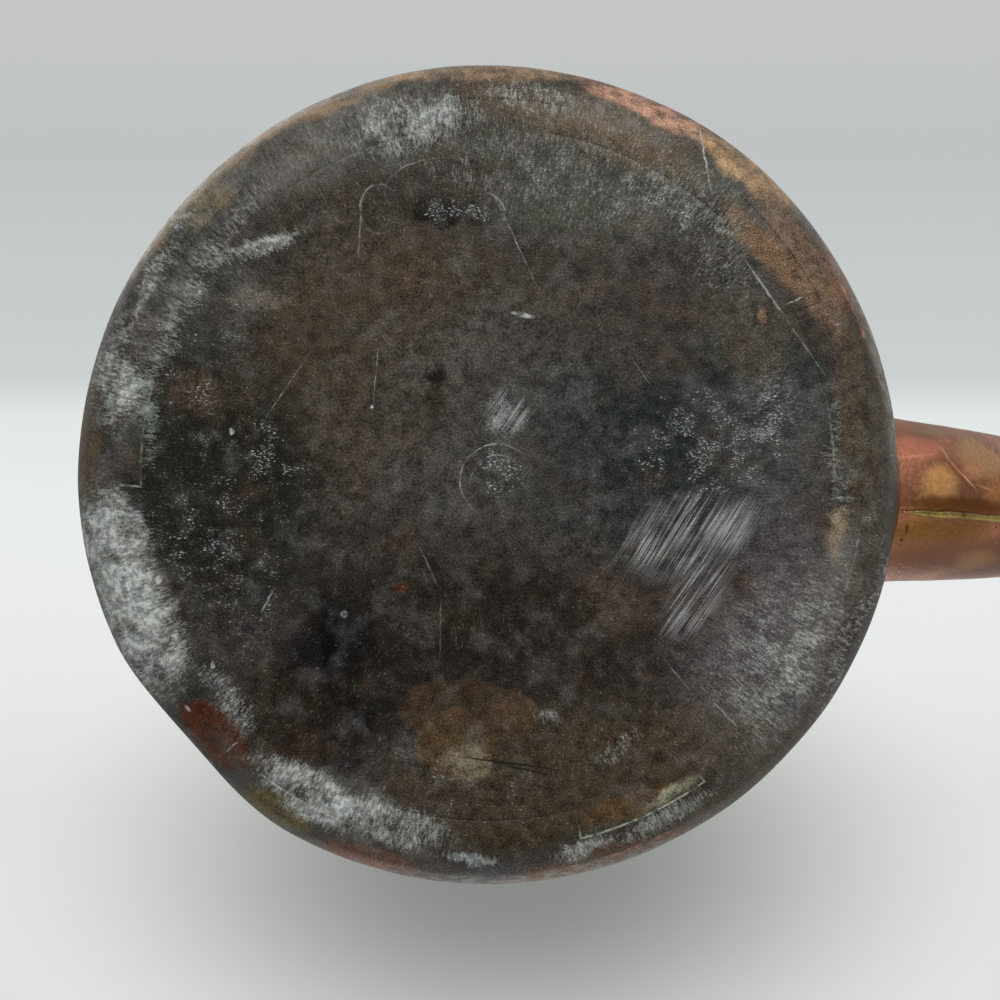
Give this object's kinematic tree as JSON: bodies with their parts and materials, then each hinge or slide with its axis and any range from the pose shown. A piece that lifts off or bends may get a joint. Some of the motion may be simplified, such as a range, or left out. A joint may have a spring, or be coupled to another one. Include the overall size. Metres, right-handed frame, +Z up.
{
  "type": "kettle",
  "caption": "Hand-made copper fireside kettle with a round cramped base, domed shoulder, gooseneck spout, swing handle and lift-out domed lid with a brass knob.",
  "frame": {"origin": "centre of the flat base, on the surface that the kettle stands on", "axes": "+Z up along the kettle's axis, +X towards the spout, +Y to the left of the spout seen from the kettle"},
  "size_m": [0.3561, 0.24, 0.2882],
  "materials": {
    "sooted_copper": "satin",
    "aged_copper": "satin",
    "aged_brass": "satin"
  },
  "bodies": {
    "kettle": {"base_pan": "sooted_copper", "body_wall": "aged_copper", "shoulder_dome": "aged_copper", "mouth_collar": "aged_copper", "spout_tube": "aged_copper", "spout_seam": "aged_brass", "spout_lip": "aged_copper", "front_ear": "aged_brass", "front_ear_rivet_inner": "aged_copper", "front_ear_rivet_left": "aged_copper", "front_ear_rivet_right": "aged_copper", "front_pivot_pin": "aged_brass", "front_pivot_washer": "aged_brass", "rear_ear": "aged_brass", "rear_ear_rivet_inner": "aged_copper", "rear_ear_rivet_left": "aged_copper", "rear_ear_rivet_right": "aged_copper", "rear_pivot_pin": "aged_brass", "rear_pivot_washer": "aged_brass"},
    "handle": {"handle_bail": "aged_copper"},
    "lid": {"lid_dome": "aged_copper", "lid_skirt": "aged_copper", "knob_rosette": "aged_brass", "lid_knob": "aged_brass", "knob_stud": "aged_brass", "knob_washer": "aged_brass"}
  },
  "joints": [
    {"name": "handle_swing", "type": "hinge", "parent": "kettle", "child": "handle", "pos_m": [0, 0, 0.15503], "axis": [1, 0, 0], "range_deg": [-105, 105]},
    {"name": "lid_lift", "type": "slide", "parent": "kettle", "child": "lid", "axis": [0, 0, 1], "range_m": [0, 0.04]}
  ]
}
